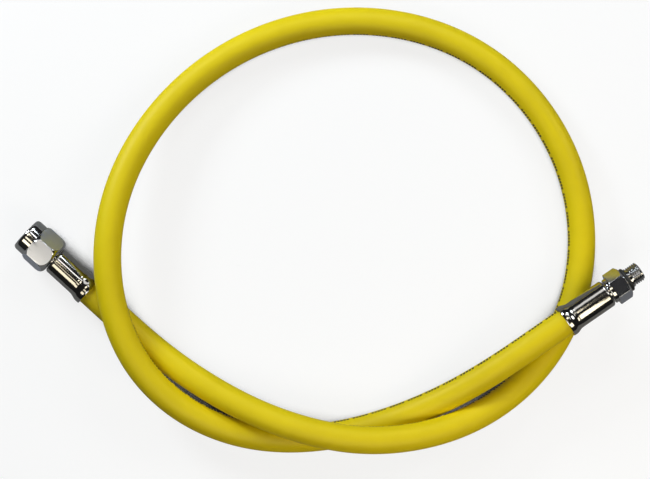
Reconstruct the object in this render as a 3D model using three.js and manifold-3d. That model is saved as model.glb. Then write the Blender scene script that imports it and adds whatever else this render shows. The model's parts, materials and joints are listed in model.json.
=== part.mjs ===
// Medium pressure hose for a breathing regulator, lying in one and a half turns on a table.
// A hollow rubber hose carries a crimped fitting at each end: on the female end a nut that
// turns freely on a headed stem, on the male end a stem with a fixed hexagon and a thread.
// Millimetres, +Z up, the table is z = 0. The X axis runs along the female fitting.
import * as THREE from 'three';
import { mergeVertices } from 'three/addons/utils/BufferGeometryUtils.js';
import Module from 'manifold-3d';

const wasm = await Module();
wasm.setup();

// Clearances
const fit = 0.3; // between two pieces that touch
const sealFit = 0.12; // between a seal and the bottom of its groove
const nutGap = 0.4; // between the female ferrule and the heel of the nut
const overcut = 1; // how far a cut runs past the face that it opens

// Hose
const hoseDiameter = 13;
const hoseBore = 6.6;
const hoseSides = 12;
const hoseSteps = 60;
const hoseLap = 2; // how far a squeezed end runs into the tube, inside its wall
const hoseLapInset = 0.1;

// Route of the hose: [bearing in degrees, radius in mm, lift in hose diameters above the table]
// round the centre of the loop. It climbs over itself at 306, 600 and 740 degrees.
const loopCentre = [-2.7, 17.2];
const routePoints = [
  [255, 108.0, 0.06], [270, 99.9, 0.38], [285, 96.2, 0.82], [300, 95.6, 1.1],
  [315, 98.2, 1.14], [330, 101.5, 1.01], [345, 106.3, 0.58], [360, 110.3, 0.16],
  [375, 112.5, 0], [390, 112.9, 0], [405, 111.7, 0], [420, 110.3, 0],
  [435, 108.4, 0], [450, 106.6, 0], [465, 104.4, 0], [480, 102.3, 0],
  [495, 101.2, 0], [510, 101.1, 0], [525, 102.2, 0.02], [540, 104.2, 0.15],
  [555, 107.1, 0.44], [570, 110.9, 0.82], [585, 114.4, 1.14], [600, 117.2, 1.2],
  [615, 119.0, 0.99], [630, 116.1, 0.58], [645, 109.8, 0.21], [660, 102.0, 0],
  [675, 95.2, 0], [690, 91.4, 0.15], [705, 91.0, 0.6], [720, 94.4, 1.0],
];
const straightStep = 14; // between the points that lead the hose straight into a ferrule

// Where the mouth of each ferrule lies from the centre of the loop, and where its fitting points
const femaleMouth = [-71.3, -104.6];
const femaleBearing = 180;
const maleMouth = [102.5, 37.7];
const maleBearing = 77.4;
const crossingGap = 0.4; // between the male ferrule and the turn of hose that it lies on

// Ferrules
const crimpDiameter = 13.5;
const bellDiameter = 15.4;
const ferruleWall = 0.9;
const lipThickness = 1.3;
const lipHole = 8.8;
const ferruleEdge = 1.3; // rounding at the closed end
const bellRim = 0.3; // slant at the mouth
const bellStraight = 1.7; // straight stretch behind the mouth
const jaws = 8;
const jawDepth = 0.16;
const jawRunOut = 1; // from the end of the bell to the full depth of the jaw marks
const hoseReach = 1.5; // how far the hose enters the bell at its full diameter
const femaleFerruleLength = 22;
const femaleBellLength = 6.2;
const maleFerruleLength = 24.3;
const maleBellLength = 5.4;

// Tails of the stems inside the hose
const gasBore = 4;
const tailRootDiameter = 5.2;
const barbPitch = 3.2;
const barbBack = 0.4; // length of the steep side of a barb
const tailTip = 1.8; // from the mouth of the ferrule to the tip of the tail
const tailShoulderLength = 1.2;

// Swivel nut
const nutAcrossFlats = 17.46;
const nutHexLength = 12.4;
const nutCollarDiameter = 17.4;
const nutCollarLength = 5.7;
const nutThreadBore = 13;
const nutLipLength = 4;
const nutPlay = 1.2; // how far the nut could slide along its stem
const nutTurn = 20.5; // from straight up to a corner of the hexagon
const nutRearRounding = [4.8, 3.1]; // along the axis, across it
const nutFrontRounding = [1.9, 1.3];
const nutHexChamfer = [1.8, 1.2];
const threadChamfer = 0.6;

// Head of the female stem
const neckDiameter = 9.2;
const headLength = 2.5;
const noseDiameter = 9.4;
const noseLength = 5;
const noseChamfer = 0.6;
const noseLand = 0.25; // between the chamfer and the groove of the seal
const femaleSeal = { bore: 6.07, section: 1.78, stretch: 0.25 };

// Male stem
const maleAcrossFlats = 14.29;
const bossDiameter = 12.6;
const bossLength = 1.6;
const bossEdge = 0.3;
const maleHexLength = 6.1;
const maleHexChamfer = [1.2, 1.6];
const maleThreadDiameter = 9.4;
const maleThreadLength = 6;
const maleThreadChamfer = 0.7;
const sealShoulderDiameter = 9.6;
const sealShoulderLength = 0.5;
const maleSeal = { bore: 8.2, section: 1.78, stretch: 0.1 };
const sealRecessDepth = 0.15; // the face of the hexagon is let in a little under the seal
const grooveSpare = 0.6; // how much wider a groove is than its seal

// Looks
const rubberYellow = { color: 0xd7c112, roughness: 0.45, metalness: 0 };
const chrome = { color: 0xd9dadb, roughness: 0.08, metalness: 1 };
const sealRubber = { color: 0x121212, roughness: 0.6, metalness: 0 };

const sections = 40; // facets round a turned piece that shows, a multiple of the jaws
const innerSections = 32; // facets round a stem, a seal or the hose's hidden ends
const sealSides = 8;
const weld = 1e-4; // vertices closer than this are one
const crimpBore = crimpDiameter - 2 * ferruleWall;
const squeezedDiameter = crimpBore - 2 * fit;

// Closed mesh of a geometry as a solid that can be cut and joined
function solid(geometry) {
  const bare = geometry.clone();
  bare.deleteAttribute('normal');
  bare.deleteAttribute('uv');
  const merged = mergeVertices(bare, weld);
  const vertProperties = new Float32Array(merged.attributes.position.array);
  const triVerts = new Uint32Array(merged.index.array);
  const mesh = new wasm.Mesh({ numProp: 3, vertProperties, triVerts });
  return new wasm.Manifold(mesh);
}

// Geometry of a cut solid
function geometryOf(body) {
  const { numProp, vertProperties, triVerts } = body.getMesh();
  const geometry = new THREE.BufferGeometry();
  const position = new THREE.BufferAttribute(new Float32Array(vertProperties), numProp);
  geometry.setAttribute('position', position);
  geometry.setIndex(new THREE.BufferAttribute(new Uint32Array(triVerts), 1));
  geometry.computeVertexNormals();
  return geometry;
}

// Turned shape about the fitting's axis, from points [distance along it, radius].
// An outline that doesn't start on the axis closes on itself.
function turned(outline, facets = sections) {
  const points = outline.map(([along, radius]) => new THREE.Vector2(radius, along));
  if (outline[0][1] > 0) points.push(points[0].clone());
  return new THREE.LatheGeometry(points, facets);
}

// Points of a quarter round from one [along, radius] to another. It bulges outwards, whether the
// radius grows or shrinks on the way.
function rounding([along0, radius0], [along1, radius1], pieces = 6) {
  const points = [];
  for (let i = 0; i <= pieces; i += 1) {
    const angle = (i / pieces) * Math.PI / 2;
    const grows = radius1 > radius0;
    const shareAlong = grows ? 1 - Math.cos(angle) : Math.sin(angle);
    const shareRadius = grows ? Math.sin(angle) : 1 - Math.cos(angle);
    points.push([along0 + (along1 - along0) * shareAlong, radius0 + (radius1 - radius0) * shareRadius]);
  }
  return points;
}

function hexagon(acrossFlats, start, length) {
  const cornerRadius = acrossFlats / Math.sqrt(3);
  const prism = new THREE.CylinderGeometry(cornerRadius, cornerRadius, length, 6);
  return prism.translate(0, start + length / 2, 0);
}

function cylinder(diameter, start, end) {
  return turned([[start, 0], [start, diameter / 2], [end, diameter / 2], [end, 0]]);
}

function piece(name, geometry, look) {
  const mesh = new THREE.Mesh(geometry, new THREE.MeshStandardMaterial(look));
  mesh.name = name;
  return mesh;
}

// Points of an S-shaped change from one [along, radius] to another
function flare([along0, radius0], [along1, radius1], pieces = 4) {
  const points = [];
  for (let i = 0; i <= pieces; i += 1) {
    const share = i / pieces;
    const eased = (1 - Math.cos(share * Math.PI)) / 2;
    points.push([along0 + (along1 - along0) * share, radius0 + (radius1 - radius0) * eased]);
  }
  return points;
}

// Crimped sleeve: a bell round the hose, a body pressed by the jaws and a lip that locks
// into the groove of the stem. The jaws leave shallow hollows with a ridge between two of them.
function ferrule(length, bellLength) {
  const outerBell = bellDiameter / 2;
  const outerCrimp = crimpDiameter / 2;
  const geometry = turned([
    [0, outerBell - bellRim],
    [bellRim, outerBell],
    ...flare([bellStraight, outerBell], [bellLength, outerCrimp]),
    [bellLength + jawRunOut, outerCrimp],
    ...rounding([length - ferruleEdge, outerCrimp], [length, outerCrimp - ferruleEdge]),
    [length, lipHole / 2],
    [length - lipThickness, lipHole / 2],
    [length - lipThickness, crimpBore / 2],
    ...flare([bellLength, crimpBore / 2], [bellStraight, outerBell - ferruleWall]),
    [0, outerBell - ferruleWall],
  ]);
  const position = geometry.attributes.position;
  for (let i = 0; i < position.count; i += 1) {
    const x = position.getX(i);
    const z = position.getZ(i);
    const radius = Math.hypot(x, z);
    const isOnBody = position.getY(i) > bellLength + jawRunOut / 2 && radius > outerCrimp - weld;
    if (!isOnBody) continue;
    const pressed = radius - jawDepth * Math.abs(Math.sin((jaws * Math.atan2(x, z)) / 2));
    position.setX(i, (x * pressed) / radius);
    position.setZ(i, (z * pressed) / radius);
  }
  return geometry;
}

// Where the pieces inside a ferrule of this length stand, measured from its mouth
function seat(ferruleLength) {
  const shoulderEnd = ferruleLength - lipThickness - fit;
  const shoulderStart = shoulderEnd - tailShoulderLength;
  return { shoulderStart, shoulderEnd, hoseEnd: shoulderStart - fit, grooveEnd: ferruleLength + fit };
}

// Outline of a stem from the tip of its barbed tail to the end of the ferrule's groove
function tailOutline(ferruleLength) {
  const { shoulderStart, shoulderEnd, grooveEnd } = seat(ferruleLength);
  const root = tailRootDiameter / 2;
  const crest = hoseBore / 2 - fit;
  const outline = [[tailTip, root]];
  for (let end = tailTip + barbPitch; end < shoulderStart; end += barbPitch) {
    outline.push([end - barbBack, crest], [end, root]);
  }
  outline.push(
    [shoulderStart, root],
    [shoulderStart, squeezedDiameter / 2],
    [shoulderEnd, squeezedDiameter / 2],
    [shoulderEnd, lipHole / 2 - fit],
    [grooveEnd, lipHole / 2 - fit],
  );
  return outline;
}

function sealRing({ bore, section, stretch }, along) {
  const radius = (bore + section) / 2 + stretch;
  const ring = new THREE.TorusGeometry(radius, section / 2, sealSides, innerSections);
  return ring.rotateX(Math.PI / 2).translate(0, along, 0);
}

// Radius at the bottom of a seal's groove
function grooveRadius({ bore, stretch }) {
  return bore / 2 + stretch - sealFit;
}

// Swivel nut, from the ferrule outwards: a rounded heel, the hexagon, a round collar.
// Inside, a lip rides on the neck of the stem behind its head, in front of it the nut is open.
const nutStart = femaleFerruleLength + nutGap;
const nutHexEnd = nutStart + nutHexLength;
const nutEnd = nutHexEnd + nutCollarLength;
const nutThrustFace = nutStart + nutLipLength;
const nutCornerRadius = nutAcrossFlats / Math.sqrt(3);
const nutLipBore = neckDiameter + 2 * fit;

function swivelNut() {
  const [heelLength, heelDrop] = nutRearRounding;
  const [chamferLength, chamferDrop] = nutHexChamfer;
  const [frontLength, frontDrop] = nutFrontRounding;
  const corner = nutCornerRadius;
  const collarRadius = nutCollarDiameter / 2;
  const envelope = turned([
    [nutStart, 0],
    ...rounding([nutStart, corner - heelDrop], [nutStart + heelLength, corner], 8),
    [nutHexEnd - chamferLength, corner],
    [nutHexEnd, corner - chamferDrop],
    [nutHexEnd, 0],
  ]);
  const collar = turned([
    [nutHexEnd - chamferLength, 0],
    [nutHexEnd - chamferLength, collarRadius],
    ...rounding([nutEnd - frontLength, collarRadius], [nutEnd, collarRadius - frontDrop]),
    [nutEnd, 0],
  ]);
  const hollow = turned([
    [nutStart - overcut, 0],
    [nutStart - overcut, nutLipBore / 2],
    [nutThrustFace, nutLipBore / 2],
    [nutThrustFace, nutThreadBore / 2],
    [nutEnd - threadChamfer, nutThreadBore / 2],
    [nutEnd, nutThreadBore / 2 + threadChamfer],
    [nutEnd + overcut, nutThreadBore / 2 + threadChamfer],
    [nutEnd + overcut, 0],
  ]);
  const prism = hexagon(nutAcrossFlats, nutStart, nutHexLength);
  const outside = solid(prism).intersect(solid(envelope)).add(solid(collar));
  return geometryOf(outside.subtract(solid(hollow)));
}

// Female stem: barbed tail, groove for the ferrule's lip, neck for the nut, head and nose
const headStart = nutThrustFace + nutPlay;
const headEnd = headStart + headLength;
const noseEnd = headEnd + noseLength;
const femaleGrooveWidth = femaleSeal.section + grooveSpare;
const femaleSealAlong = noseEnd - noseChamfer - noseLand - femaleGrooveWidth / 2;

function femaleStem() {
  const grooveStart = femaleSealAlong - femaleGrooveWidth / 2;
  const grooveEnd = femaleSealAlong + femaleGrooveWidth / 2;
  const groove = grooveRadius(femaleSeal);
  return turned([
    ...tailOutline(femaleFerruleLength),
    [seat(femaleFerruleLength).grooveEnd, neckDiameter / 2],
    [headStart, neckDiameter / 2],
    [headStart, nutThreadBore / 2 - fit],
    [headEnd, nutThreadBore / 2 - fit],
    [headEnd, noseDiameter / 2],
    [grooveStart, noseDiameter / 2],
    [grooveStart, groove],
    [grooveEnd, groove],
    [grooveEnd, noseDiameter / 2],
    [noseEnd - noseChamfer, noseDiameter / 2],
    [noseEnd, noseDiameter / 2 - noseChamfer],
    [noseEnd, gasBore / 2],
    [tailTip, gasBore / 2],
  ], innerSections);
}

// Male stem: barbed tail, groove for the ferrule's lip, round boss, hexagon, seal and thread
const bossStart = maleFerruleLength + 2 * fit;
const maleHexStart = bossStart + bossLength;
const maleHexEnd = maleHexStart + maleHexLength;
const maleFace = maleHexEnd + maleHexChamfer[0];
const maleGrooveStart = maleFace - sealRecessDepth;
const maleGrooveEnd = maleGrooveStart + maleSeal.section + grooveSpare;
const maleSealAlong = (maleGrooveStart + maleGrooveEnd) / 2;
const maleThreadStart = maleGrooveEnd + sealShoulderLength;
const maleTip = maleThreadStart + maleThreadLength;
const sealRecessRadius = maleSeal.bore / 2 + maleSeal.section + maleSeal.stretch + sealFit;

function maleStem() {
  const thread = maleThreadDiameter / 2;
  const corner = maleAcrossFlats / Math.sqrt(3);
  const faceRadius = corner - maleHexChamfer[1];
  const shaft = turned([
    [tailTip, 0],
    ...tailOutline(maleFerruleLength),
    [bossStart, lipHole / 2 - fit],
    [bossStart, bossDiameter / 2 - bossEdge],
    [bossStart + bossEdge, bossDiameter / 2],
    [maleHexEnd, bossDiameter / 2],
    [maleHexEnd, grooveRadius(maleSeal)],
    [maleGrooveEnd, grooveRadius(maleSeal)],
    [maleGrooveEnd, sealShoulderDiameter / 2],
    [maleThreadStart, sealShoulderDiameter / 2],
    [maleThreadStart, thread],
    [maleTip - maleThreadChamfer, thread],
    [maleTip, thread - maleThreadChamfer],
    [maleTip, 0],
  ], innerSections);
  const envelope = turned([
    [maleHexStart, 0],
    [maleHexStart, corner],
    [maleHexEnd, corner],
    [maleFace, faceRadius],
    [maleFace, sealRecessRadius],
    [maleGrooveStart, sealRecessRadius],
    [maleGrooveStart, 0],
  ]);
  const prism = hexagon(maleAcrossFlats, maleHexStart, maleFace - maleHexStart);
  prism.rotateY(Math.PI / 6);
  const outside = solid(shaft).add(solid(prism).intersect(solid(envelope)));
  return geometryOf(outside.subtract(solid(cylinder(gasBore, tailTip - overcut, maleTip + overcut))));
}

// Centreline of the hose: a uniform cubic B-spline through a list of control points
class HoseRoute extends THREE.Curve {
  constructor(controls) {
    super();
    this.controls = controls;
  }

  getPoint(share, target = new THREE.Vector3()) {
    const spans = this.controls.length - 3;
    const span = Math.min(Math.floor(share * spans), spans - 1);
    const t = share * spans - span;
    const weights = [(1 - t) ** 3, 3 * t ** 3 - 6 * t ** 2 + 4, -3 * t ** 3 + 3 * t ** 2 + 3 * t + 1, t ** 3];
    target.set(0, 0, 0);
    weights.forEach((weight, i) => target.addScaledVector(this.controls[span + i], weight / 6));
    return target;
  }
}

// The female fitting lies on the rim of its bell and the heel of its nut, so it tips a little
const heelAlong = nutStart + nutRearRounding[0];
const cornerOffset = THREE.MathUtils.euclideanModulo(180 - nutTurn, 60);
const cornerFromBottom = THREE.MathUtils.degToRad(Math.min(cornerOffset, 60 - cornerOffset));
const heelRadius = nutCornerRadius * Math.cos(cornerFromBottom);
const femaleTilt = Math.atan2(heelRadius - bellDiameter / 2, heelAlong - bellRim);
const femaleHeight = (bellDiameter / 2) * Math.cos(femaleTilt) - bellRim * Math.sin(femaleTilt);
// The male fitting lies level across the hose
const maleHeight = hoseDiameter + bellDiameter / 2 + crossingGap;

function fromLoopCentre([x, y], height) {
  return new THREE.Vector3(loopCentre[0] + x, loopCentre[1] + y, height);
}

function heading(bearing, tilt) {
  const angle = THREE.MathUtils.degToRad(bearing);
  const level = Math.cos(tilt);
  return new THREE.Vector3(level * Math.cos(angle), level * Math.sin(angle), Math.sin(tilt));
}

const femalePlace = {
  mouth: fromLoopCentre(femaleMouth, femaleHeight),
  out: heading(femaleBearing, femaleTilt),
};
const malePlace = {
  mouth: fromLoopCentre(maleMouth, maleHeight),
  out: heading(maleBearing, 0),
};

// Group whose Y axis runs out along a fitting and whose Z axis looks up
function fittingGroup({ mouth, out }) {
  const up = new THREE.Vector3(0, 0, 1).addScaledVector(out, -out.z).normalize();
  const side = new THREE.Vector3().crossVectors(out, up);
  const group = new THREE.Group();
  group.quaternion.setFromRotationMatrix(new THREE.Matrix4().makeBasis(side, out, up));
  group.position.copy(mouth);
  return group;
}

// Points that lead the route straight into a ferrule, from the inside out
function straightLead({ mouth, out }) {
  return [1, 0, -1].map((step) => mouth.clone().addScaledVector(out, hoseReach + step * straightStep));
}

function polygon(radius) {
  const points = [];
  for (let i = 0; i < hoseSides; i += 1) {
    const angle = (i / hoseSides) * Math.PI * 2;
    points.push(new THREE.Vector2(radius * Math.cos(angle), radius * Math.sin(angle)));
  }
  return points;
}

// End of the hose inside a ferrule: it is squeezed between the sleeve and the barbed tail.
// It starts inside the wall of the tube, so that the two join.
function squeezedEnd(ferruleLength, bellLength, group) {
  const { hoseEnd } = seat(ferruleLength);
  const full = (hoseDiameter / 2) * Math.cos(Math.PI / hoseSides) - hoseLapInset;
  const bore = hoseBore / 2 + hoseLapInset;
  const geometry = turned([
    [hoseReach - hoseLap, full],
    [hoseReach, full],
    [bellLength, squeezedDiameter / 2],
    [hoseEnd, squeezedDiameter / 2],
    [hoseEnd, bore],
    [hoseReach - hoseLap, bore],
  ], innerSections);
  group.updateMatrix();
  return geometry.applyMatrix4(group.matrix);
}

const femaleFitting = fittingGroup(femalePlace);
const maleFitting = fittingGroup(malePlace);

function hose() {
  const controls = [
    ...straightLead(femalePlace),
    ...routePoints.map(([bearing, radius, lift]) => {
      const angle = THREE.MathUtils.degToRad(bearing);
      const height = hoseDiameter * (0.5 + lift);
      return fromLoopCentre([radius * Math.cos(angle), radius * Math.sin(angle)], height);
    }),
    ...straightLead(malePlace).reverse(),
  ];
  const section = new THREE.Shape(polygon(hoseDiameter / 2));
  section.holes.push(new THREE.Path(polygon(hoseBore / 2)));
  const tube = new THREE.ExtrudeGeometry(section, {
    steps: hoseSteps,
    bevelEnabled: false,
    extrudePath: new HoseRoute(controls),
  });
  const body = solid(tube)
    .add(solid(squeezedEnd(femaleFerruleLength, femaleBellLength, femaleFitting)))
    .add(solid(squeezedEnd(maleFerruleLength, maleBellLength, maleFitting)));
  return geometryOf(body);
}

const nut = piece('swivel_nut', swivelNut(), chrome);
nut.rotation.y = THREE.MathUtils.degToRad(nutTurn);

femaleFitting.add(
  piece('female_ferrule', ferrule(femaleFerruleLength, femaleBellLength), chrome),
  piece('female_stem', femaleStem(), chrome),
  piece('female_stem_o_ring', sealRing(femaleSeal, femaleSealAlong), sealRubber),
  nut,
);

maleFitting.add(
  piece('male_ferrule', ferrule(maleFerruleLength, maleBellLength), chrome),
  piece('male_stem', maleStem(), chrome),
  piece('male_stem_o_ring', sealRing(maleSeal, maleSealAlong), sealRubber),
);

const regulatorHose = new THREE.Group();
regulatorHose.add(piece('hose', hose(), rubberYellow), femaleFitting, maleFitting);

export default regulatorHose;
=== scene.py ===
import json
import math

import bmesh
import bpy
from mathutils import Matrix, Vector


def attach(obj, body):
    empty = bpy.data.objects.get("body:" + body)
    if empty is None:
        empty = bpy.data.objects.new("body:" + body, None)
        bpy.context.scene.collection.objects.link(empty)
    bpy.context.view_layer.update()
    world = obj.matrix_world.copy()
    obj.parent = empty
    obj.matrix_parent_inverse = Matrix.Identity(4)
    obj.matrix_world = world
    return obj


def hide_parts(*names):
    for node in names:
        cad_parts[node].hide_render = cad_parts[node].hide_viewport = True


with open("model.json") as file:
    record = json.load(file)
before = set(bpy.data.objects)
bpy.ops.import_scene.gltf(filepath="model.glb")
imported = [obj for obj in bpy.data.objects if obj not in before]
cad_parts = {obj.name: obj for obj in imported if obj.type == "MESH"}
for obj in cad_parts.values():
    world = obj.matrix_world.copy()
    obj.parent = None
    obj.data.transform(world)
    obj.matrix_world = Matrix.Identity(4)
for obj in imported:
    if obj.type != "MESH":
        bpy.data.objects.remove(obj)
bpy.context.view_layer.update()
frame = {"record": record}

# Camera. It looks straight down on the coil from 0.8 m above the table. The picture is turned
# on the table: its right side points along picture_bearing, its top a quarter turn further.
mm = 0.001
picture_bearing = math.radians(42.9)
camera_place = (-8.64 * mm, 6.81 * mm, 806 * mm)
lens_length = 93.03  # millimetres, in front of a sensor 36 mm wide

camera = bpy.data.objects.new("camera", bpy.data.cameras.new("camera"))
camera.data.lens = lens_length
camera.location = camera_place
camera.rotation_euler = (0, 0, picture_bearing)
bpy.context.scene.collection.objects.link(camera)
bpy.context.scene.camera = camera

# Hose. A rubber tube with a textile braid inside its wall and a smooth yellow cover, crimped
# into a ferrule at each end. It lies in one and a half turns: it starts in the female ferrule,
# climbs over itself three times and ends in the male ferrule, above the turn below it.
hose_diameter = 13 * mm
hose_bore = 6.6 * mm
hose_reach = 1.5 * mm  # how far it enters a bell at its full diameter
squeezed_diameter = 11.1 * mm
hose_sides = 32
rings_per_point = 18
straight_step = 14 * mm
loop_centre = Vector((-2.7, 17.2, 0)) * mm

# Bearing in degrees and radius in metres round the centre of the loop, lift in hose diameters
route_points = [
    (255, 0.1080, 0.06), (270, 0.0999, 0.38), (285, 0.0962, 0.82), (300, 0.0956, 1.10),
    (315, 0.0982, 1.14), (330, 0.1015, 1.01), (345, 0.1063, 0.58), (360, 0.1103, 0.16),
    (375, 0.1125, 0), (390, 0.1129, 0), (405, 0.1117, 0), (420, 0.1103, 0),
    (435, 0.1084, 0), (450, 0.1066, 0), (465, 0.1044, 0), (480, 0.1023, 0),
    (495, 0.1012, 0), (510, 0.1011, 0), (525, 0.1022, 0.02), (540, 0.1042, 0.15),
    (555, 0.1071, 0.44), (570, 0.1109, 0.82), (585, 0.1144, 1.14), (600, 0.1172, 1.20),
    (615, 0.1190, 0.99), (630, 0.1161, 0.58), (645, 0.1098, 0.21), (660, 0.1020, 0),
    (675, 0.0952, 0), (690, 0.0914, 0.15), (705, 0.0910, 0.60), (720, 0.0944, 1.00),
]

# Each fitting stands on its own axes: X across it, Y out along it from the mouth of its
# ferrule, Z up. The female fitting tips a little, because it lies on its bell and its nut.
def fitting_axes(mouth, out):
    up = (Vector((0, 0, 1)) - out * out.z).normalized()
    side = out.cross(up)
    axes = Matrix((side, out, up)).transposed().to_4x4()
    axes.translation = mouth
    return axes


nut_swivel = frame["record"]["behaviour"]["joints"][0]
female_out = Vector(nut_swivel["axis"]).normalized()
female_axes = fitting_axes(Vector((-74.0, -87.4, 7.665)) * mm, female_out)
male_axes = fitting_axes(Vector((99.8, 54.9, 21.1)) * mm, Vector((0.218143, 0.975917, 0)).normalized())


def straight_lead(axes):
    return [axes @ Vector((0, hose_reach + step * straight_step, 0)) for step in (1, 0, -1)]


def loop_point(bearing, radius, lift):
    angle = math.radians(bearing)
    height = hose_diameter * (0.5 + lift)
    return loop_centre + Vector((radius * math.cos(angle), radius * math.sin(angle), height))


route = straight_lead(female_axes) + [loop_point(*p) for p in route_points] + straight_lead(male_axes)[::-1]


def smooth_route(points, pieces):
    """Points of the uniform cubic B-spline that the list of points leads."""
    line = []
    for span in range(len(points) - 3):
        last = span == len(points) - 4
        for i in range(pieces + last):
            t = i / pieces
            weights = ((1 - t) ** 3, 3 * t**3 - 6 * t**2 + 4, -3 * t**3 + 3 * t**2 + 3 * t + 1, t**3)
            line.append(sum((p * w for p, w in zip(points[span:span + 4], weights)), Vector()) / 6)
    return line


centreline = smooth_route(route, rings_per_point)

# The hose narrows between sleeve and barbed tail: (distance in from the mouth, radius)
bell_lengths = {"female": 6.2 * mm, "male": 5.4 * mm}
hose_ends = {"female": 18.9 * mm, "male": 21.2 * mm}


def squeezed_stations(axes, sex):
    stations = [(hose_ends[sex], squeezed_diameter / 2), (bell_lengths[sex], squeezed_diameter / 2)]
    stations.append(((bell_lengths[sex] + hose_reach) / 2, (squeezed_diameter + hose_diameter) / 4))
    return [(axes @ Vector((0, along, 0)), radius) for along, radius in stations]


stations = squeezed_stations(female_axes, "female")
stations += [(point, hose_diameter / 2) for point in centreline]
stations += squeezed_stations(male_axes, "male")[::-1]
centres = [centre for centre, _ in stations]

# The cover's printed mark runs along the inner side and twists slowly, so the map of the
# surface twists with it: (metres along the hose, share of the way round from the mark)
twist_middle = -0.242
twist_swing = 0.035
twist_first_crest = 0.37
twist_period = 0.547


def hose_ring(index, radius):
    before, after = centres[max(index - 1, 0)], centres[min(index + 1, len(centres) - 1)]
    ahead = (after - before).normalized()
    side = ahead.cross(Vector((0, 0, 1))).normalized()
    up = side.cross(ahead)
    angles = [2 * math.pi * k / hose_sides for k in range(hose_sides)]
    return [centres[index] + (up * math.cos(a) + side * math.sin(a)) * radius for a in angles]


walked = [0.0]
for start, end in zip(centres, centres[1:]):
    walked.append(walked[-1] + (end - start).length)


def ring_map(index):
    share = walked[index] / walked[-1]
    swing = math.cos(2 * math.pi * (share - twist_first_crest) / twist_period)
    mark = twist_middle + twist_swing * swing
    return [(walked[index], k / hose_sides - 1 - mark) for k in range(hose_sides + 1)]


# One closed surface: out along the cover, and back along the bore, which needs fewer rings
bore_step = 3
outer_indices = list(range(len(stations)))
inner_indices = outer_indices[::-bore_step]
if inner_indices[-1] != 0:
    inner_indices.append(0)
loops = [(i, hose_ring(i, stations[i][1])) for i in outer_indices]
loops += [(i, hose_ring(i, hose_bore / 2)) for i in inner_indices]


def new_object(name, mesh):
    made = bpy.data.objects.new(name, mesh)
    bpy.context.scene.collection.objects.link(made)
    return made


def hose_mesh():
    mesh = bpy.data.meshes.new("hose_cover")
    points = [point for _, ring in loops for point in ring]
    faces, corners_uv = [], []
    for row, (index, _) in enumerate(loops):
        following = (row + 1) % len(loops)
        map_here, map_there = ring_map(index), ring_map(loops[following][0])
        for k in range(hose_sides):
            turn = (k + 1) % hose_sides
            here, there = row * hose_sides, following * hose_sides
            faces.append((here + k, here + turn, there + turn, there + k))
            corners_uv += [map_here[k], map_here[k + 1], map_there[k + 1], map_there[k]]
    mesh.from_pydata(points, [], faces)
    uv_map = mesh.uv_layers.new(name="along_and_round")
    for loop, uv in zip(uv_map.data, corners_uv):
        loop.uv = uv
    mesh.shade_smooth()
    mesh.set_sharp_from_angle(angle=math.radians(40))
    return mesh


hose = new_object("hose_cover", hose_mesh())


# Finishes are trees of shader nodes. A Signal is one socket: sums and products of Signals and
# numbers add the Math nodes that work them out.
class Signal:
    def __init__(self, nodes, socket):
        self.nodes = nodes
        self.socket = socket

    def maths(self, operation, first, second):
        return self.nodes.node("ShaderNodeMath", {"operation": operation}, {0: first, 1: second})

    def __add__(self, other):
        return self.maths("ADD", self, other)

    __radd__ = __add__

    def __rsub__(self, other):
        return self.maths("SUBTRACT", other, self)

    def __mul__(self, other):
        return self.maths("MULTIPLY", self, other)

    __rmul__ = __mul__

    def __truediv__(self, other):
        return self.maths("DIVIDE", self, other)

    def __lt__(self, other):
        return self.maths("LESS_THAN", self, other)

    def __mod__(self, other):
        return self.maths("FLOORED_MODULO", self, other)

    def __abs__(self):
        return self.maths("ABSOLUTE", self, 0)


class NodeTree:
    def __init__(self, tree):
        self.tree = tree

    def node(self, kind, settings=None, inputs=None, output=0):
        made = self.tree.nodes.new(kind)
        for key, value in (settings or {}).items():
            setattr(made, key, value)
        for key, value in (inputs or {}).items():
            self.feed(made.inputs[key], value)
        return Signal(self, made.outputs[output])

    def feed(self, socket, value):
        if isinstance(value, Signal):
            self.tree.links.new(value.socket, socket)
        else:
            socket.default_value = value

    def ramp(self, value, start, end, most=1.0):
        """0 where value is at most start, rising evenly to most where it reaches end."""
        return self.node("ShaderNodeMapRange", inputs={0: value, 1: start, 2: end, 3: 0.0, 4: most})

    def rays(self, *names):
        """1 for rays of the named kinds, otherwise 0."""
        outputs = self.node("ShaderNodeLightPath").socket.node.outputs
        return sum(Signal(self, outputs[f"Is {name} Ray"]) for name in names)


class Finish(NodeTree):
    def __init__(self, name):
        self.material = bpy.data.materials.new(name)
        self.material.use_nodes = True
        super().__init__(self.material.node_tree)
        self.shader = self.tree.nodes["Principled BSDF"]

    def set(self, **values):
        for key, value in values.items():
            self.feed(self.shader.inputs[key.replace("_", " ")], value)
        return self.material

    def place(self):
        return self.node("ShaderNodeTexCoord", output="Object")

    def noise(self, vector, scale, detail=3.0, roughness=0.5):
        inputs = {"Vector": vector, "Scale": scale, "Detail": detail, "Roughness": roughness}
        return self.node("ShaderNodeTexNoise", inputs=inputs)

    def stretched(self, vector, scale):
        return self.node("ShaderNodeMapping", inputs={"Vector": vector, "Scale": scale})

    def mix(self, share, first, second):
        settings = {"data_type": "RGBA"}
        return self.node("ShaderNodeMix", settings, {0: share, 6: first, 7: second}, output=2)

    def between(self, value, low, high):
        """Value of 0 to 1 spread from low to high."""
        return value * (high - low) + low

    def bump(self, height, distance, strength=1.0):
        inputs = {"Height": height, "Distance": distance, "Strength": strength}
        return self.node("ShaderNodeBump", inputs=inputs)


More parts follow.
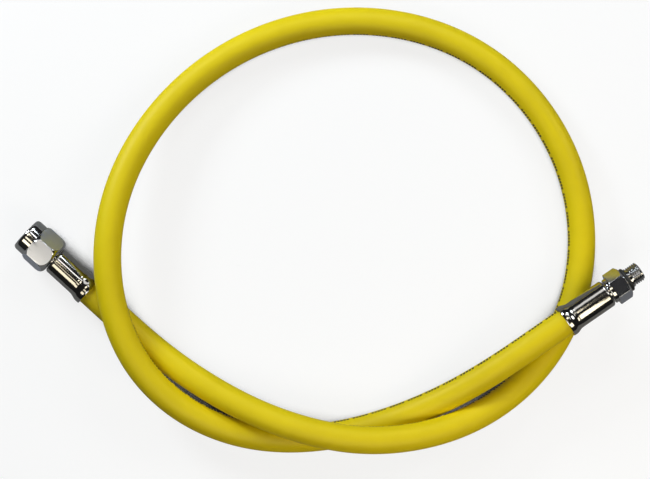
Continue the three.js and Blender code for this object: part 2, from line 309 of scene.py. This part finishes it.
# The cover is extruded, so faint lines run along it. It is a little duller where it has been
# handled, and a row of plain ink dashes follows the mark.
cover_yellow = (0.78, 0.60, 0.002, 1)
cover_worn = (0.66, 0.49, 0.002, 1)
ink_black = (0.02, 0.02, 0.015, 1)
ink_width = 2.0 * mm
ink_lengths = (1.6 * mm, 1.1 * mm)  # pitch of the dashes, length of one
ink_groups = (9.6 * mm, 7.7 * mm)  # pitch of the groups, length of one
ink_strength = 0.95

rubber = Finish("yellow_rubber_cover")
cover_map = rubber.node("ShaderNodeUVMap", {"uv_map": "along_and_round"})
along = rubber.node("ShaderNodeSeparateXYZ", inputs={0: cover_map}, output="X")
round_share = rubber.node("ShaderNodeSeparateXYZ", inputs={0: cover_map}, output="Y")
in_row = abs(round_share) < ink_width / 2 / (math.pi * hose_diameter)
in_dash = (along % ink_lengths[0]) < ink_lengths[1]
in_group = (along % ink_groups[0]) < ink_groups[1]
handled = rubber.noise(rubber.place(), 22, detail=5, roughness=0.6)
lines = rubber.noise(rubber.stretched(cover_map, (9, 90, 1)), 4, detail=2)
pores = rubber.noise(rubber.place(), 1500, detail=2)
worn_share = rubber.ramp(handled, 0.45, 0.8, most=0.5)
cover = rubber.mix(worn_share, cover_yellow, cover_worn)
rubber.set(
    Base_Color=rubber.mix(in_row * in_dash * in_group * ink_strength, cover, ink_black),
    Roughness=rubber.between(handled * 0.7 + lines * 0.3, 0.42, 0.58),
    Normal=rubber.bump(lines * 0.7 + pores * 0.3, 0.03 * mm),
    Specular_IOR_Level=0.22,
)
hose.data.materials.append(rubber.material)

# Ferrules. Each is a brass sleeve with a bell mouth, plated with chrome, slid over the hose
# and pressed by eight jaws, which leave shallow hollows with ridges between them. A lip at its
# closed end is pressed into a groove of the stem.
crimp_diameter = 13.5 * mm
bell_diameter = 15.4 * mm
ferrule_wall = 0.9 * mm
lip_thickness = 1.3 * mm
lip_hole = 8.8 * mm
ferrule_edge = 1.3 * mm
bell_rim = 0.3 * mm
bell_straight = 1.7 * mm
jaws = 8
jaw_depth = 0.10 * mm
jaw_run_out = 1.2 * mm
jaw_roundness = 0.8
ferrule_lengths = {"female": 22 * mm, "male": 24.3 * mm}
round_columns = 128
fine_columns = [2 * math.pi * k / round_columns for k in range(round_columns)]


def part_way(start, end, along_share, radius_share):
    return (start[0] + (end[0] - start[0]) * along_share, start[1] + (end[1] - start[1]) * radius_share)


def quarter_round(start, end, pieces=8):
    """Points of a quarter round that bulges outwards, from one (along, radius) to another."""
    points = []
    for i in range(pieces + 1):
        angle = i / pieces * math.pi / 2
        shares = (1 - math.cos(angle), math.sin(angle))
        if end[1] < start[1]:
            shares = shares[::-1]
        points.append(part_way(start, end, *shares))
    return points


def s_curve(start, end, pieces=10):
    points = []
    for i in range(pieces + 1):
        share = i / pieces
        eased = (1 - math.cos(share * math.pi)) / 2
        points.append(part_way(start, end, share, eased))
    return points


def turned_solid(name, axes, columns, outline_at):
    """Closed solid round a fitting's axis. outline_at(angle) is its outline, a loop of
    (along, radius), in the half plane at that angle; all outlines have as many points."""
    outlines = [outline_at(angle) for angle in columns]
    count = len(outlines[0])
    points = [
        axes @ Vector((radius * math.sin(angle), along, radius * math.cos(angle)))
        for angle, outline in zip(columns, outlines)
        for along, radius in outline
    ]
    faces = []
    for k in range(len(columns)):
        here, there = k * count, (k + 1) % len(columns) * count
        for j in range(count):
            following = (j + 1) % count
            faces.append((here + j, here + following, there + following, there + j))
    mesh = bpy.data.meshes.new(name)
    mesh.from_pydata(points, [], faces)
    work = bmesh.new()
    work.from_mesh(mesh)
    bmesh.ops.recalc_face_normals(work, faces=work.faces)
    work.to_mesh(mesh)
    work.free()
    mesh.shade_smooth()
    mesh.set_sharp_from_angle(angle=math.radians(28))
    return new_object(name, mesh)


def ferrule(sex, axes):
    length, bell_length = ferrule_lengths[sex], bell_lengths[sex]
    bell, crimp = bell_diameter / 2, crimp_diameter / 2
    inner_crimp = crimp - ferrule_wall

    def outline_at(angle):
        hollow = jaw_depth * abs(math.sin(jaws * angle / 2)) ** jaw_roundness
        pressed = crimp - hollow
        return [
            (0, bell - bell_rim),
            (bell_rim * 0.3, bell - bell_rim * 0.3),
            (bell_rim, bell),
            *s_curve((bell_straight, bell), (bell_length, crimp)),
            *s_curve((bell_length + jaw_run_out * 0.2, crimp), (bell_length + jaw_run_out, pressed), 4),
            *quarter_round((length - ferrule_edge, pressed), (length, crimp - ferrule_edge)),
            (length, lip_hole / 2),
            (length - lip_thickness, lip_hole / 2),
            (length - lip_thickness, inner_crimp),
            *s_curve((bell_length, inner_crimp), (bell_straight, bell - ferrule_wall), 6),
            (0, bell - ferrule_wall),
        ]

    return turned_solid(f"{sex}_ferrule_sleeve", axes, fine_columns, outline_at)


female_sleeve = ferrule("female", female_axes)
male_sleeve = ferrule("male", male_axes)
sleeve_tint = (0.42, 0.41, 0.39, 1)
stain_darkness = 0.72


def chrome_plate(name, tint, smoothest, dullest, dents=0.006 * mm):
    """Chrome plate: a mirror with a faint haze, hair lines from polishing and shallow dents."""
    chrome = Finish(name)
    haze = chrome.noise(chrome.place(), 160, detail=4, roughness=0.6)
    hairs = chrome.noise(chrome.stretched(chrome.place(), (1, 14, 14)), 900, detail=2)
    stain_share = chrome.ramp(haze, 0.55, 0.8, most=0.35)
    stained = [channel * stain_darkness for channel in tint[:3]] + [1]
    return chrome.set(
        Base_Color=chrome.mix(stain_share, tint, stained),
        Metallic=1.0,
        Roughness=chrome.between(haze * 0.6 + hairs * 0.4, smoothest, dullest),
        Normal=chrome.bump(haze, dents),
    )


female_sleeve.data.materials.append(chrome_plate("smooth_sleeve_chrome", sleeve_tint, 0.06, 0.14))
male_sleeve.data.materials.append(chrome_plate("dented_sleeve_chrome", sleeve_tint, 0.06, 0.16, 0.05 * mm))

# Threads. A thread is a ridge of trapezium section wound on a core or inside a bore, made by
# Geometry Nodes: a spiral, the section swept along it, thinner where the thread runs out.
def thread_tree():
    tree = bpy.data.node_groups.new("thread_ridge", "GeometryNodeTree")
    tree.interface.new_socket("Geometry", in_out="OUTPUT", socket_type="NodeSocketGeometry")
    lengths = ["Radius", "Height", "Depth", "Root Width", "Crest Width"]
    for name in lengths + ["Turns", "Run Out", "Section Angle"]:
        tree.interface.new_socket(name, in_out="INPUT", socket_type="NodeSocketFloat")
    tree.interface.new_socket("Points per Turn", in_out="INPUT", socket_type="NodeSocketInt")
    tree.interface.new_socket("Material", in_out="INPUT", socket_type="NodeSocketMaterial")
    thread = NodeTree(tree)
    sockets = tree.nodes.new("NodeGroupInput").outputs
    given = {socket.name: Signal(thread, socket) for socket in sockets if socket.name}

    spiral = thread.node("GeometryNodeCurveSpiral", inputs={
        "Resolution": given["Points per Turn"],
        "Rotations": given["Turns"],
        "Start Radius": given["Radius"],
        "End Radius": given["Radius"],
        "Height": given["Height"],
        "Reverse": True,
    })
    level = thread.node("GeometryNodeSetCurveNormal", {"mode": "Z_UP"}, {"Curve": spiral})
    way = thread.node("GeometryNodeSplineParameter", output="Factor")
    from_end = way.maths("MINIMUM", way, 1 - way)
    thickness = way.maths("MINIMUM", from_end / given["Run Out"], 1.0)
    thinned = thread.node("GeometryNodeSetCurveRadius", inputs={"Curve": level, "Radius": thickness})
    section = thread.node("GeometryNodeCurvePrimitiveQuadrilateral", {"mode": "TRAPEZOID"}, {
        "Bottom Width": given["Root Width"],
        "Top Width": given["Crest Width"],
        "Height": given["Depth"],
        "Offset": 0.0,
    })
    turn = thread.node("ShaderNodeCombineXYZ", inputs={"Z": given["Section Angle"]})
    turned = thread.node("GeometryNodeTransform", inputs={"Geometry": section, "Rotation": turn})
    swept = thread.node("GeometryNodeCurveToMesh", inputs={
        "Curve": thinned,
        "Profile Curve": turned,
        "Fill Caps": True,
    })
    real = thread.node("GeometryNodeRealizeInstances", inputs={"Geometry": swept})
    plated = thread.node("GeometryNodeSetMaterial", inputs={
        "Geometry": real,
        "Material": given["Material"],
    })
    tree.links.new(plated.socket, tree.nodes.new("NodeGroupOutput").inputs[0])
    return tree


thread_ridge = thread_tree()
thread_points = 64


def thread_mesh(name, axes, start, sizes):
    """Plain mesh of a thread whose spiral starts at `start` along a fitting."""
    carrier = new_object(name, bpy.data.meshes.new(name))
    modifier = carrier.modifiers.new("thread", "NODES")
    modifier.node_group = thread_ridge
    for item in thread_ridge.interface.items_tree:
        if item.in_out == "INPUT":
            modifier[item.identifier] = sizes[item.name]
    evaluated = carrier.evaluated_get(bpy.context.evaluated_depsgraph_get())
    mesh = bpy.data.meshes.new_from_object(evaluated)
    carrier.modifiers.clear()
    bpy.data.objects.remove(carrier)
    mesh.transform(axes @ Matrix.Translation((0, start, 0)) @ Matrix.Rotation(-math.pi / 2, 4, "X"))
    return mesh


def add_mesh(owner, mesh):
    """Joins a mesh to a piece's own."""
    work = bmesh.new()
    work.from_mesh(owner.data)
    work.from_mesh(mesh)
    work.to_mesh(owner.data)
    work.free()


# Stems. Turned brass, chrome plated, with a gas bore right through. The tail inside the hose
# has barbs, and behind it a groove takes the ferrule's lip. The female stem ends in a head that
# keeps the nut and a nose with a seal; the male one in a hexagon, a seal and a 24 per inch thread.
gas_bore = 4 * mm
tail_root = 5.2 * mm
tail_tip = 1.8 * mm
barb_pitch = 3.2 * mm
barb_back = 0.4 * mm
fit = 0.3 * mm
neck_diameter = 9.2 * mm
head_start, head_length, head_diameter = 27.6 * mm, 2.5 * mm, 12.4 * mm
nose_length, nose_diameter, nose_chamfer = 5 * mm, 9.4 * mm, 0.6 * mm
female_seal = {"along": 33.06 * mm, "bore": 6.57 * mm, "section": 1.78 * mm}
male_seal = {"along": 34.84 * mm, "bore": 8.4 * mm, "section": 1.78 * mm}
groove_width = 2.38 * mm
seal_fit = 0.12 * mm
boss_start, boss_diameter, boss_edge = 24.9 * mm, 12.6 * mm, 0.45 * mm
male_hex_start, male_hex_end, male_face = 26.5 * mm, 32.6 * mm, 33.8 * mm
male_across_flats = 14.29 * mm
male_face_radius, male_recess_radius = 6.65 * mm, 6.1 * mm
shoulder_diameter, shoulder_length = 9.6 * mm, 0.5 * mm
thread_diameter, thread_length = 9.4 * mm, 6 * mm
thread_pitch = 25.4 / 24 * mm
thread_depth = 0.6 * mm
thread_chamfer = 0.7 * mm
male_thread_start = male_seal["along"] + groove_width / 2 + shoulder_length
corner_rounding = 0.3 * mm
facet_crown = 0.05 * mm
hex_rear_edge = 0.25 * mm
bore_edge = 0.2 * mm
head_edge = 0.15 * mm


def barbed_tail(sex):
    """Outline of a stem from its tip in the hose to the end of the groove for the lip."""
    shoulder = hose_ends[sex] + fit
    groove = ferrule_lengths[sex] - lip_thickness - fit
    root, crest = tail_root / 2, hose_bore / 2 - fit
    outline = [(tail_tip, root)]
    end = tail_tip + barb_pitch
    while end < shoulder:
        outline += [(end - barb_back, crest), (end, root)]
        end += barb_pitch
    return outline + [
        (shoulder, root),
        (shoulder, squeezed_diameter / 2),
        (groove, squeezed_diameter / 2),
        (groove, lip_hole / 2 - fit),
        (ferrule_lengths[sex] + fit, lip_hole / 2 - fit),
    ]


def seal_groove(seal, surface):
    """Outline of the groove for a seal, from the surface down and up again."""
    bottom = seal["bore"] / 2 - seal_fit
    start, end = seal["along"] - groove_width / 2, seal["along"] + groove_width / 2
    return [(start, surface), (start, bottom), (end, bottom), (end, surface)]


def female_stem_outline(angle):
    head_end = head_start + head_length
    nose_end = head_end + nose_length
    head, nose = head_diameter / 2, nose_diameter / 2
    return [
        *barbed_tail("female"),
        (ferrule_lengths["female"] + fit, neck_diameter / 2),
        (head_start, neck_diameter / 2),
        (head_start, head - head_edge),
        (head_start + head_edge, head),
        (head_end - head_edge, head),
        (head_end, head - head_edge),
        (head_end, nose),
        *seal_groove(female_seal, nose),
        (nose_end - nose_chamfer, nose),
        (nose_end, nose - nose_chamfer),
        (nose_end, gas_bore / 2 + head_edge),
        (nose_end - head_edge, gas_bore / 2),
        (tail_tip, gas_bore / 2),
    ]


female_stem = turned_solid("female_stem_turned", female_axes, fine_columns, female_stem_outline)


def hexagon_columns(across_flats, first_corner, facet_pieces=14, corner_pieces=5):
    """Angle and radius of points round a hexagon with crowned facets and rounded corners."""
    apothem = across_flats / 2
    corner_centre = (apothem - corner_rounding) / math.cos(math.pi / 6)
    columns = []
    for corner in range(6):
        corner_angle = first_corner + corner * math.pi / 3
        for i in range(corner_pieces + 1):
            lean = (i / corner_pieces - 0.5) * math.pi / 3
            x = corner_centre + corner_rounding * math.cos(lean)
            y = corner_rounding * math.sin(lean)
            columns.append((corner_angle + math.atan2(y, x), math.hypot(x, y) - facet_crown))
        edge = math.pi / 6 - math.atan2(y, x)
        for i in range(1, facet_pieces):
            lean = -edge + 2 * edge * i / facet_pieces
            sag = facet_crown * (math.tan(lean) / math.tan(edge)) ** 2
            columns.append((corner_angle + math.pi / 6 + lean, apothem / math.cos(lean) - sag))
    return columns


male_hexagon = dict(hexagon_columns(male_across_flats, math.pi / 6))


def male_stem_outline(angle):
    radius = male_hexagon[angle]
    corner = male_across_flats / math.sqrt(3)
    chamfer_share = (corner - radius) / (corner - male_face_radius)
    chamfer_start = male_hex_end + (male_face - male_hex_end) * chamfer_share
    groove_start = male_seal["along"] - groove_width / 2
    groove_end = male_seal["along"] + groove_width / 2
    core = thread_diameter / 2 - thread_depth
    tip = male_thread_start + thread_length
    boss = boss_diameter / 2
    return [
        *barbed_tail("male"),
        (boss_start, lip_hole / 2 - fit),
        *quarter_round((boss_start, boss - boss_edge), (boss_start + boss_edge, boss), 4),
        (male_hex_start, boss),
        (male_hex_start, radius - hex_rear_edge),
        (male_hex_start + hex_rear_edge, radius),
        (chamfer_start, radius),
        (male_face, male_face_radius),
        (male_face, male_recess_radius),
        (groove_start, male_recess_radius),
        (groove_start, male_seal["bore"] / 2 - seal_fit),
        (groove_end, male_seal["bore"] / 2 - seal_fit),
        (groove_end, shoulder_diameter / 2),
        (male_thread_start, shoulder_diameter / 2),
        (male_thread_start, core),
        (tip - thread_chamfer / 2, core),
        (tip, core - thread_chamfer / 2),
        (tip, gas_bore / 2 + bore_edge),
        (tip - bore_edge, gas_bore / 2),
        (tail_tip, gas_bore / 2),
    ]


male_stem = turned_solid("male_stem_turned", male_axes, list(male_hexagon), male_stem_outline)
stem_chrome = chrome_plate("stem_chrome", (0.46, 0.46, 0.47, 1), 0.04, 0.14)
stem_flats_chrome = chrome_plate("stem_flats_chrome", (0.50, 0.53, 0.62, 1), 0.14, 0.20)
male_turns = (thread_length - thread_pitch) / thread_pitch
add_mesh(male_stem, thread_mesh("male_thread", male_axes, male_thread_start + thread_pitch / 2, {
    "Radius": thread_diameter / 2 - thread_depth / 2,
    "Height": male_turns * thread_pitch,
    "Depth": thread_depth,
    "Root Width": thread_pitch * 0.92,
    "Crest Width": thread_pitch * 0.18,
    "Turns": male_turns,
    "Run Out": 0.08,
    "Points per Turn": thread_points,
    "Section Angle": -math.pi / 2,
    "Material": stem_chrome,
}))


least_tilt = 0.02  # of a chamfer against a flat, along the fitting


def plate(piece, axes, chrome, flats_chrome=None, hexagon=None):
    """Plates a piece. The flats of its hexagon, which lie between two distances along the
    fitting and outside a radius, are milled, so they are duller than what is turned."""
    piece.data.materials.clear()
    piece.data.materials.append(chrome)
    if not hexagon:
        return
    piece.data.materials.append(flats_chrome)
    start, end, least_radius = hexagon
    into_axes = axes.inverted()
    for face in piece.data.polygons:
        place, way = into_axes @ face.center, into_axes.to_3x3() @ face.normal
        is_flat = abs(way.y) < least_tilt and start < place.y < end
        face.material_index = int(is_flat and math.hypot(place.x, place.z) > least_radius)


plate(female_stem, female_axes, stem_chrome)
male_flats = (male_hex_start, male_face, boss_diameter / 2)
plate(male_stem, male_axes, stem_chrome, stem_flats_chrome, male_flats)

# Seals. Black rubber O-rings: one in the groove of the nose, inside the nut, and one in front
# of the hexagon of the male stem, a little wider than the shoulder behind the thread.
seal_section_points = 24


def seal_ring(name, seal, axes):
    middle = (seal["bore"] + seal["section"]) / 2
    circle = [2 * math.pi * i / seal_section_points for i in range(seal_section_points)]
    half = seal["section"] / 2
    outline = [(seal["along"] + half * math.cos(a), middle + half * math.sin(a)) for a in circle]
    return turned_solid(name, axes, fine_columns, lambda angle: outline)


female_ring = seal_ring("female_seal_ring", female_seal, female_axes)
male_ring = seal_ring("male_seal_ring", male_seal, male_axes)
seal_rubber = Finish("black_seal_rubber")
seal_grain = seal_rubber.noise(seal_rubber.place(), 2200, detail=3)
seal_rubber.set(
    Base_Color=seal_rubber.mix(seal_grain, (0.006, 0.006, 0.006, 1), (0.016, 0.016, 0.017, 1)),
    Roughness=seal_rubber.between(seal_grain, 0.42, 0.62),
    Normal=seal_rubber.bump(seal_grain, 0.02 * mm),
)
for ring in (female_ring, male_ring):
    ring.data.materials.append(seal_rubber.material)

# Swivel nut. Turned from hexagon brass bar and chrome plated: a rounded heel, six flats whose
# corners are turned off in front, a round collar, and inside a lip that rides on the neck of
# the stem and an open 18 per inch thread.
nut_start, nut_hex_end, nut_end = 22.4 * mm, 34.8 * mm, 40.5 * mm
nut_across_flats = 17.46 * mm
nut_turn = math.radians(20.5)
heel_length, heel_drop, heel_pieces = 4.8 * mm, 3.1 * mm, 10
hex_chamfer_length, hex_chamfer_drop = 1.8 * mm, 1.2 * mm
collar_radius = 8.7 * mm
front_length, front_drop = 1.9 * mm, 1.3 * mm
lip_face, nut_lip_bore = 26.4 * mm, 9.8 * mm
nut_thread_root = 14.29 * mm
nut_thread_depth = 0.64 * mm
nut_thread_pitch = 25.4 / 18 * mm
mouth_chamfer = 0.6 * mm
nut_edge = 0.12 * mm
nut_flats = (nut_start, nut_hex_end, nut_across_flats * 0.49)

nut_hexagon = dict(hexagon_columns(nut_across_flats, nut_turn))


def nut_outline(angle):
    radius = nut_hexagon[angle]
    corner = nut_across_flats / math.sqrt(3)
    heel_radius = corner - heel_drop
    lean = math.asin((radius - heel_radius) / heel_drop)
    heel = []
    for i in range(heel_pieces + 1):
        a = lean * i / heel_pieces
        heel.append((nut_start + heel_length * (1 - math.cos(a)), heel_radius + heel_drop * math.sin(a)))
    chamfer_share = max(0.0, (corner - radius) / hex_chamfer_drop)
    chamfer_start = nut_hex_end - hex_chamfer_length * max(0.0, 1 - chamfer_share)
    chamfer_end = min(radius, corner - hex_chamfer_drop)
    lip, root = nut_lip_bore / 2, nut_thread_root / 2
    collar = collar_radius - nut_edge
    return [
        (nut_start, lip + nut_edge),
        *heel,
        *((heel[-1][0] + (chamfer_start - nut_edge - heel[-1][0]) * i / 3, radius) for i in (1, 2, 3)),
        (max(chamfer_start, nut_hex_end - nut_edge), chamfer_end),
        (nut_hex_end, chamfer_end - nut_edge),
        (nut_hex_end, collar),
        (nut_hex_end + nut_edge * 2, collar),
        *quarter_round((nut_end - front_length, collar), (nut_end, collar_radius - front_drop)),
        (nut_end, root + mouth_chamfer),
        (nut_end - mouth_chamfer, root),
        (lip_face, root),
        (lip_face, lip),
        (nut_start + nut_edge, lip),
    ]


nut = turned_solid("swivel_nut_turned", female_axes, list(nut_hexagon), nut_outline)
nut_chrome = chrome_plate("nut_chrome", (0.56, 0.56, 0.56, 1), 0.04, 0.14)
nut_turns = (nut_end - lip_face - nut_thread_pitch) / nut_thread_pitch
add_mesh(nut, thread_mesh("nut_thread", female_axes, lip_face + nut_thread_pitch / 2, {
    "Radius": nut_thread_root / 2 - nut_thread_depth / 2,
    "Height": nut_turns * nut_thread_pitch,
    "Depth": nut_thread_depth,
    "Root Width": nut_thread_pitch * 0.9,
    "Crest Width": nut_thread_pitch * 0.2,
    "Turns": nut_turns,
    "Run Out": 0.06,
    "Points per Turn": thread_points,
    "Section Angle": math.pi / 2,
    "Material": nut_chrome,
}))
nut_flats_chrome = chrome_plate("nut_flats_chrome", (0.68, 0.72, 0.86, 1), 0.26, 0.34)
plate(nut, female_axes, nut_chrome, nut_flats_chrome, nut_flats)

# Assembly. All but the nut ride together with the hose; the nut, which turns on the female stem,
# hangs on a body of its own. Each piece is hung on its body, and the plain solid of its own part is hidden.
for piece, body, node, slot in (
    (hose, "hose_assembly", "hose", "hose_rubber"),
    (female_sleeve, "hose_assembly", "female_ferrule", "ferrule_chrome"),
    (male_sleeve, "hose_assembly", "male_ferrule", "ferrule_chrome"),
    (female_stem, "hose_assembly", "female_stem", "stem_chrome"),
    (male_stem, "hose_assembly", "male_stem", "stem_chrome"),
    (female_ring, "hose_assembly", "female_stem_o_ring", "seal_rubber"),
    (male_ring, "hose_assembly", "male_stem_o_ring", "seal_rubber"),
    (nut, "nut", "swivel_nut", "nut_chrome"),
):
    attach(piece, body)
    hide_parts(node)

tuple(centres[0])
[tuple(point) for point in centres]

# Table. A white surface to the camera, which keeps the shadow of the hose on it. In the narrow gaps
# between two turns it has painted shade: where ambient occlusion finds little room past the hose, it
# turns near black for the camera. To the hose and the chrome it is grey, as it must have been.
floor_half = 5.0
floor_corners = [(x * floor_half, y * floor_half, 0) for x, y in ((-1, -1), (1, -1), (1, 1), (-1, 1))]
floor_mesh = bpy.data.meshes.new("table")
floor_mesh.from_pydata(floor_corners, [], [(0, 1, 2, 3)])
table = new_object("table", floor_mesh)
table_white = Finish("white_table")
# The darkest level is painted shade, the near black that the camera sees in the gaps between turns.
seen_white, lit_grey, painted_gap_shade = [(level, level, level, 1) for level in (0.92, 0.22, 0.03)]
camera_glow, mirror_glow = 0.80, 0.06
gap_reach = 40 * mm
gap_shut, gap_open = 0.32, 0.47  # shares of the room that the table sees past the hose
past_hose = table_white.node(
    "ShaderNodeAmbientOcclusion", {"samples": 16}, {"Distance": gap_reach}, output="AO"
)
outside_gap = table_white.ramp(past_hose, gap_shut, gap_open)
to_camera = table_white.rays("Camera") * outside_gap
in_mirrors = table_white.rays("Glossy", "Transmission")
glow = table_white.node("ShaderNodeEmission", inputs={"Color": (1, 1, 1, 1), "Strength": 1.0})
# Painted shade: for the camera, the table turns near black where the hose closes round it.
painted_shade_in_gap = table_white.rays("Camera") * (1 - outside_gap)
shade = table_white.mix(painted_shade_in_gap, table_white.mix(to_camera, lit_grey, seen_white), painted_gap_shade)
matt = table_white.node("ShaderNodeBsdfDiffuse", inputs={"Color": shade})
share = to_camera * camera_glow + in_mirrors * mirror_glow
surface = table_white.node("ShaderNodeMixShader", inputs={0: share, 1: matt, 2: glow})
table_white.feed(table_white.tree.nodes["Material Output"].inputs["Surface"], surface)
table.data.materials.append(table_white.material)

# Studio. Boxes round the coil light it, the strongest beyond the top left corner of the picture.
# Higher up are strips and boxes that only mirrors show, and they make the bands on the fittings.
def picture_point(right, up, height):
    """A place over the table by its distances along the picture's own axes."""
    c, s = math.cos(picture_bearing), math.sin(picture_bearing)
    return Vector((right * c - up * s, right * s + up * c, height))


def lamp(name, place, size, power, colour=(1, 1, 1), aim=(0, 0, 0), only_in_mirrors=False):
    data = bpy.data.lights.new(name, "AREA")
    data.shape = "RECTANGLE"
    data.size, data.size_y = size
    data.energy = power
    data.color = colour
    made = bpy.data.objects.new(name, data)
    made.location = picture_point(*place)
    towards = picture_point(*aim) - made.location
    made.rotation_euler = towards.to_track_quat("-Z", "Y").to_euler()
    made.visible_camera = False
    made.visible_diffuse = not only_in_mirrors
    bpy.context.scene.collection.objects.link(made)


cream = (1, 0.90, 0.68)
pale_blue = (0.86, 0.95, 1)
lamp("top_box", (0, 0.90, 0.90), (0.90, 0.30), 1.3)
lamp("top_left_box", (-0.50, 0.50, 0.35), (0.20, 0.20), 4.7, pale_blue, (-0.30, 0.30, 0))
lamp("top_right_box", (0.12, 0.50, 0.35), (0.18, 0.20), 0.95, pale_blue, (0.10, 0.30, 0))
lamp("right_box", (0.50, 0.25, 0.35), (0.20, 0.20), 0.85, aim=(0.30, 0.15, 0))
lamp("bottom_box", (0, -0.25, 0.35), (0.20, 0.20), 0.38, aim=(0, -0.15, 0))
lamp("bottom_right_box", (0.26, -0.25, 0.35), (0.22, 0.22), 0.60, cream, (0.15, -0.15, 0))

female_end, male_end = (-0.131, -0.011, 0.02), (0.131, -0.026, 0.02)
lamp("female_strip", (0.40, 0.56, 1.40), (0.60, 0.18), 1.0, aim=female_end, only_in_mirrors=True)
lamp("female_near_box", (-0.30, -0.195, 1.20), (0.60, 0.20), 0.8, cream, female_end, only_in_mirrors=True)
lamp("female_far_box", (-0.63, -0.55, 0.95), (0.60, 0.38), 1.9, cream, female_end, only_in_mirrors=True)
lamp("male_strip", (-0.14, 0.37, 1.40), (0.40, 0.30), 1.6, cream, male_end, only_in_mirrors=True)

world = bpy.data.worlds.new("studio")
world.use_nodes = True
bpy.context.scene.world = world
room = NodeTree(world.node_tree)
background = room.tree.nodes["Background"].inputs
background["Color"].default_value = (1, 1, 1, 1)
dimness = 0.01
dim = room.rays("Glossy", "Transmission") * dimness + dimness
room.feed(background["Strength"], room.rays("Camera") + dim)

bpy.context.scene.view_settings.view_transform = "Standard"
